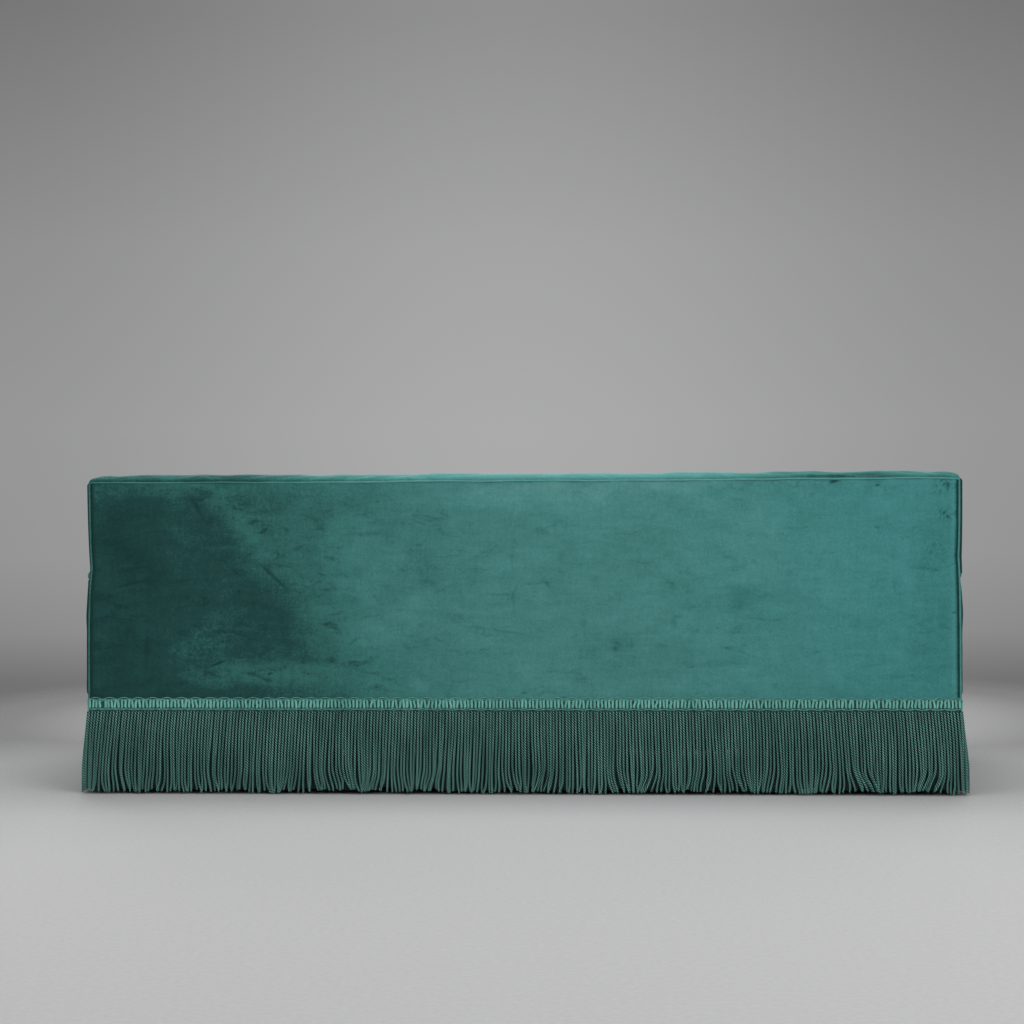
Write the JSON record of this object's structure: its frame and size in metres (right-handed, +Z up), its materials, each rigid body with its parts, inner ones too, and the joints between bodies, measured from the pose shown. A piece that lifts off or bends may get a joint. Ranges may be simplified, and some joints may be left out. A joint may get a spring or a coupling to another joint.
{
  "type": "sofa",
  "caption": "Long velvet sofa with a plain piped back, low arms, loose seat cushions, and a braid-headed bullion fringe that hangs to the floor all round.",
  "frame": {"origin": "On the floor, under the middle of the sofa's bounding box.", "axes": "+X to a seated person's left, +Y towards the back of the sofa, +Z up. The sofa faces -Y."},
  "size_m": [2.24, 0.92, 0.8084],
  "materials": {
    "frame_timber": "bare planed beech",
    "leg_timber": "dark stained beech",
    "hardware_steel": "bright zinc",
    "glide_plastic": "black",
    "spring_steel": "oiled spring steel",
    "hessian": "natural jute",
    "webbing": "woven jute",
    "lining_board": "raw board",
    "stuffing": "undyed wadding and foam",
    "velvet": "blue-green velvet pile",
    "dust_cloth": "black cambric",
    "piping": "velvet-covered piping cord",
    "gimp": "wound silky braid",
    "fringe": "twisted bullion cords"
  },
  "bodies": {
    "sofa_body": {"front_rail": "frame_timber", "back_rail": "frame_timber", "side_rails": "frame_timber", "centre_cross_rail": "frame_timber", "back_post_left": "frame_timber", "back_post_right": "frame_timber", "back_top_rail": "frame_timber", "back_tack_rail": "frame_timber", "back_stiles": "frame_timber", "arm_posts": "frame_timber", "arm_top_rails": "frame_timber", "arm_tack_rails": "frame_timber", "corner_blocks": "frame_timber", "frame_dowels": "frame_timber", "legs": "leg_timber", "corner_block_screws": "hardware_steel", "leg_bolts": "hardware_steel", "spring_clips": "hardware_steel", "leg_glides": "glide_plastic", "seat_springs": "spring_steel", "seat_hessian": "hessian", "back_webbing": "webbing", "arm_panels": "lining_board", "outside_back_liner": "lining_board", "outside_arm_liners": "lining_board", "seat_deck_pad": "stuffing", "front_border_pad": "stuffing", "inside_back_pad": "stuffing", "arm_pad_left": "stuffing", "arm_pad_right": "stuffing", "seat_deck_cover": "velvet", "front_border_cover": "velvet", "inside_back_cover": "velvet", "back_side_borders": "velvet", "outside_back_cover": "velvet", "outside_arm_cover_left": "velvet", "outside_arm_cover_right": "velvet", "inside_arm_cover_left": "velvet", "inside_arm_cover_right": "velvet", "arm_facing_left": "velvet", "arm_facing_right": "velvet", "covered_buttons": "velvet", "dust_cover": "dust_cloth", "back_piping": "piping", "arm_piping": "piping", "gimp_braid": "gimp", "fringe_back": "fringe", "fringe_front": "fringe", "fringe_left": "fringe", "fringe_right": "fringe"},
    "cushion_left": {"cushion_cover_left": "velvet", "cushion_core_left": "stuffing", "cushion_piping_left": "piping"},
    "cushion_centre": {"cushion_cover_centre": "velvet", "cushion_core_centre": "stuffing", "cushion_piping_centre": "piping"},
    "cushion_right": {"cushion_cover_right": "velvet", "cushion_core_right": "stuffing", "cushion_piping_right": "piping"}
  },
  "joints": [
    {"name": "cushion_left_lift", "type": "slide", "parent": "sofa_body", "child": "cushion_left", "axis": [0, 0, 1], "range_m": [0, 0.3]},
    {"name": "cushion_centre_lift", "type": "slide", "parent": "sofa_body", "child": "cushion_centre", "axis": [0, 0, 1], "range_m": [0, 0.3]},
    {"name": "cushion_right_lift", "type": "slide", "parent": "sofa_body", "child": "cushion_right", "axis": [0, 0, 1], "range_m": [0, 0.3]}
  ]
}
